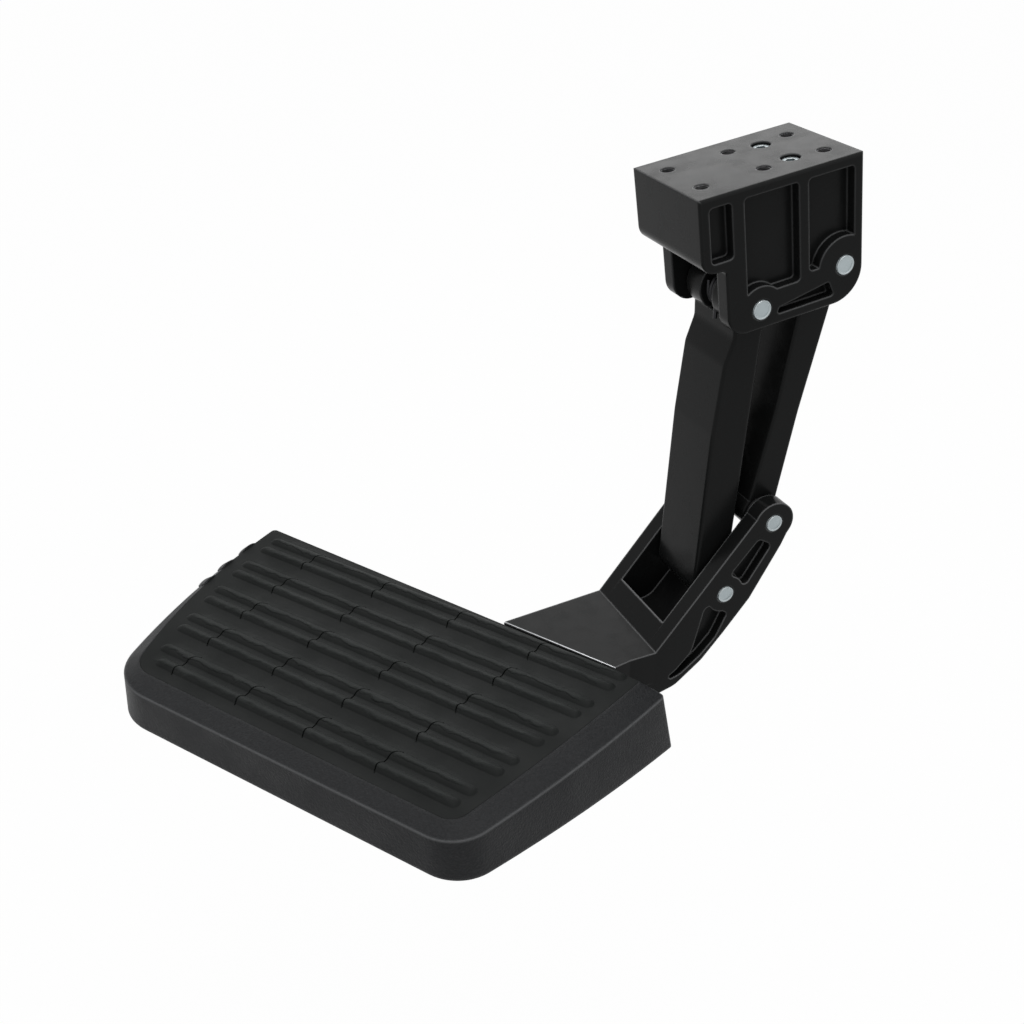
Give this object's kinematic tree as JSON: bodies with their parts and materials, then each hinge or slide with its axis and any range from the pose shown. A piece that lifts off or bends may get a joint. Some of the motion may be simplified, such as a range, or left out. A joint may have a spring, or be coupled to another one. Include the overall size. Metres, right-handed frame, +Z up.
{
  "type": "retractable side step",
  "caption": "Fold-away truck side step: a ribbed tread pad on a forked arm, hung by two parallel links from a bolt-on cast bracket.",
  "frame": {"origin": "centre of the bracket's mounting face", "axes": "+X along the pivot pins, +Y to the rear of the bracket, away from the pad, +Z up with the tread level"},
  "size_m": [0.3567, 0.4444, 0.3487],
  "materials": {
    "black_casting": "satin black powder coat",
    "zinc_steel": "bright zinc plate",
    "spring_steel": "oiled spring steel",
    "bush_polymer": "dark bearing polymer",
    "stop_rubber": "matt black rubber",
    "pad_plastic": "fine-grained black moulding",
    "tread_rubber": "matt ribbed rubber",
    "insert_brass": "plain brass"
  },
  "bodies": {
    "bracket": {"mount_bracket": "black_casting", "stop_block": "black_casting", "stop_block_screws": "zinc_steel", "down_stop_bumper": "stop_rubber", "up_stop_bumper": "stop_rubber", "upper_front_pin": "zinc_steel", "upper_front_clip": "zinc_steel", "upper_rear_pin": "zinc_steel", "upper_rear_clip": "zinc_steel"},
    "main_arm": {"main_arm": "black_casting", "return_spring": "spring_steel", "arm_upper_bush_near": "bush_polymer", "arm_upper_bush_far": "bush_polymer", "arm_lower_bush_near": "bush_polymer", "arm_lower_bush_far": "bush_polymer"},
    "carrier": {"lower_fork": "black_casting", "lower_front_pin": "zinc_steel", "lower_front_clip": "zinc_steel", "lower_rear_pin": "zinc_steel", "lower_rear_clip": "zinc_steel", "step_pad": "pad_plastic", "tread_mat": "tread_rubber", "pad_bolts": "zinc_steel", "pad_washers": "zinc_steel", "pad_inserts": "insert_brass"},
    "rear_link": {"rear_link": "black_casting", "link_lower_bush_near": "bush_polymer", "link_lower_bush_far": "bush_polymer"}
  },
  "joints": [
    {"name": "arm_fold", "type": "hinge", "parent": "bracket", "child": "main_arm", "pos_m": [0, -0.00434, -0.07631], "axis": [1, 0, 0], "range_deg": [0, 75]},
    {"name": "carrier_fold", "type": "hinge", "parent": "main_arm", "child": "carrier", "pos_m": [0, -0.0118, -0.2684], "axis": [1, 0, 0], "range_deg": [-87.5, 0]},
    {"name": "link_fold", "type": "hinge", "parent": "carrier", "child": "rear_link", "pos_m": [0, 0.0199, -0.2228], "axis": [1, 0, 0], "range_deg": [0, 101]}
  ],
  "couplings": [
    {"joint": "carrier_fold", "follows": "arm_fold", "ratio": -1.164},
    {"joint": "link_fold", "follows": "arm_fold", "ratio": 1.344}
  ]
}
